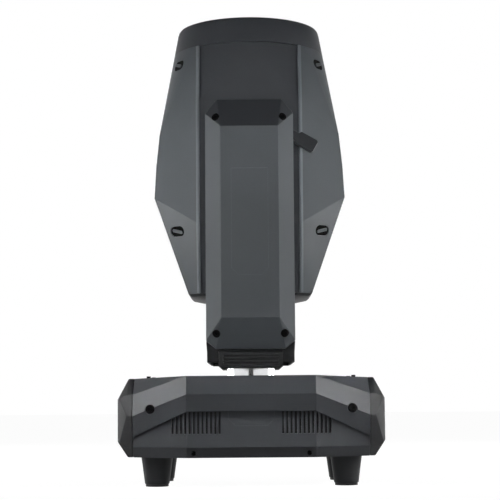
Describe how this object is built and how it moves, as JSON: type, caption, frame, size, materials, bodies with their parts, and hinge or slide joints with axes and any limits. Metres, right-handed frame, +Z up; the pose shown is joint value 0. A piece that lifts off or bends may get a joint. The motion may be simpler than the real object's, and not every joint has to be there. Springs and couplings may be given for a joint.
{
  "type": "moving head light",
  "caption": "Motorised moving head stage light: a tapered head tilts between yoke arms that pan on a tube above a vented base with feet.",
  "frame": {"origin": "on the floor under the pan axis, at the level of the foot pads", "axes": "+Z up along the pan axis, +Y along the tilt axis from the lever arm to the drive arm, +X along the base towards the connector end"},
  "size_m": [0.364, 0.344, 0.6384],
  "materials": {
    "cover_plastic": "satin, fine grain",
    "dark_plastic": "satin, fine grain",
    "black_plastic": "matt",
    "black_steel": "powder coat",
    "polished_steel": "polished",
    "bright_steel": "turned",
    "screw_steel": "blackened",
    "aluminium": "sheet and extrusion",
    "rubber": "matt",
    "lens_glass": "clear",
    "screen_glass": "dark display window",
    "circuit_board": "solder mask",
    "button_plastic": "matt",
    "brass": "turned",
    "reflector": "bright"
  },
  "bodies": {
    "base": {"base_chassis": "black_steel", "base_top_plate": "dark_plastic", "base_cover_front": "dark_plastic", "base_cover_rear": "dark_plastic", "base_end_left": "dark_plastic", "base_end_right": "dark_plastic", "feet": "black_plastic", "foot_pads": "rubber", "base_screws": "screw_steel", "pan_tube": "polished_steel", "pan_pulley": "aluminium", "power_supply": "aluminium", "main_board": "circuit_board", "display_panel": "black_plastic", "display_screen": "screen_glass", "connector_panel": "black_steel", "power_inlet": "black_plastic", "data_input": "bright_steel", "data_output": "bright_steel", "fuse_holder": "black_plastic"},
    "yoke": {"yoke_cross_frame": "black_steel", "yoke_saddle": "cover_plastic", "yoke_tray": "black_steel", "arm_frame_front": "black_steel", "arm_frame_rear": "black_steel", "arm_cover_front": "cover_plastic", "arm_cover_rear": "cover_plastic", "arm_end_caps": "black_plastic", "arm_screws": "screw_steel", "pan_bearing": "bright_steel", "pan_motor": "black_steel", "pan_belt": "rubber", "tilt_bearings": "bright_steel", "tilt_motor": "black_steel", "tilt_belt": "rubber"},
    "head": {"head_frame": "aluminium", "head_cover_left": "cover_plastic", "head_cover_right": "cover_plastic", "head_panels": "dark_plastic", "front_bezel": "dark_plastic", "front_lens": "lens_glass", "rear_cap": "cover_plastic", "head_fasteners": "screw_steel", "tilt_axles": "bright_steel", "tilt_pulley": "aluminium", "tilt_lock_disc": "bright_steel", "heat_sink": "aluminium", "light_engine": "reflector", "fan_frame": "black_plastic"},
    "pan_motor_pulley": {"pan_motor_pulley": "brass"},
    "tilt_motor_pulley": {"tilt_motor_pulley": "brass"},
    "tilt_lock_lever": {"tilt_lock_lever": "black_plastic"},
    "button_menu": {"button_menu": "button_plastic"},
    "button_up": {"button_up": "button_plastic"},
    "button_down": {"button_down": "button_plastic"},
    "button_enter": {"button_enter": "button_plastic"},
    "fan_rotor": {"fan_rotor": "black_plastic"},
    "colour_wheel": {"colour_wheel": "aluminium"},
    "gobo_wheel": {"gobo_wheel": "aluminium"},
    "focus_carriage": {"focus_carriage": "aluminium"}
  },
  "joints": [
    {"name": "pan", "type": "hinge", "parent": "base", "child": "yoke", "pos_m": [0, 0, 0.153], "axis": [0, 0, 1], "range_deg": [-270, 270]},
    {"name": "tilt", "type": "hinge", "parent": "yoke", "child": "head", "pos_m": [0, 0, 0.45044], "axis": [0, 1, 0], "range_deg": [-135, 135]},
    {"name": "pan_motor_turn", "type": "hinge", "parent": "yoke", "child": "pan_motor_pulley", "pos_m": [0, 0.08, 0.218], "axis": [0, 0, 1], "range_deg": [-1262, 1262]},
    {"name": "tilt_motor_turn", "type": "hinge", "parent": "yoke", "child": "tilt_motor_pulley", "pos_m": [0, 0.156, 0.30044], "axis": [0, 1, 0], "range_deg": [-452, 452]},
    {"name": "tilt_lock", "type": "hinge", "parent": "yoke", "child": "tilt_lock_lever", "pos_m": [0.038, -0.134, 0.47944], "axis": [0, -1, 0], "range_deg": [0, 30]},
    {"name": "press_menu", "type": "slide", "parent": "base", "child": "button_menu", "axis": [1, 0, 0], "range_m": [0, 0.0015], "stiffness_N_per_m": 400},
    {"name": "press_up", "type": "slide", "parent": "base", "child": "button_up", "axis": [1, 0, 0], "range_m": [0, 0.0015], "stiffness_N_per_m": 400},
    {"name": "press_down", "type": "slide", "parent": "base", "child": "button_down", "axis": [1, 0, 0], "range_m": [0, 0.0015], "stiffness_N_per_m": 400},
    {"name": "press_enter", "type": "slide", "parent": "base", "child": "button_enter", "axis": [1, 0, 0], "range_m": [0, 0.0015], "stiffness_N_per_m": 400},
    {"name": "fan_spin", "type": "hinge", "parent": "head", "child": "fan_rotor", "pos_m": [0, 0, 0.285], "axis": [0, 0, 1], "continuous": true},
    {"name": "colour_wheel_turn", "type": "hinge", "parent": "head", "child": "colour_wheel", "pos_m": [0.046, 0, 0.41344], "axis": [0, 0, 1], "continuous": true},
    {"name": "gobo_wheel_turn", "type": "hinge", "parent": "head", "child": "gobo_wheel", "pos_m": [-0.046, 0, 0.42344], "axis": [0, 0, 1], "continuous": true},
    {"name": "focus_slide", "type": "slide", "parent": "head", "child": "focus_carriage", "axis": [0, 0, 1], "range_m": [-0.025, 0.025]}
  ],
  "couplings": [
    {"joint": "pan_motor_turn", "follows": "pan", "ratio": -4.6667},
    {"joint": "tilt_motor_turn", "follows": "tilt", "ratio": 3.3333}
  ]
}
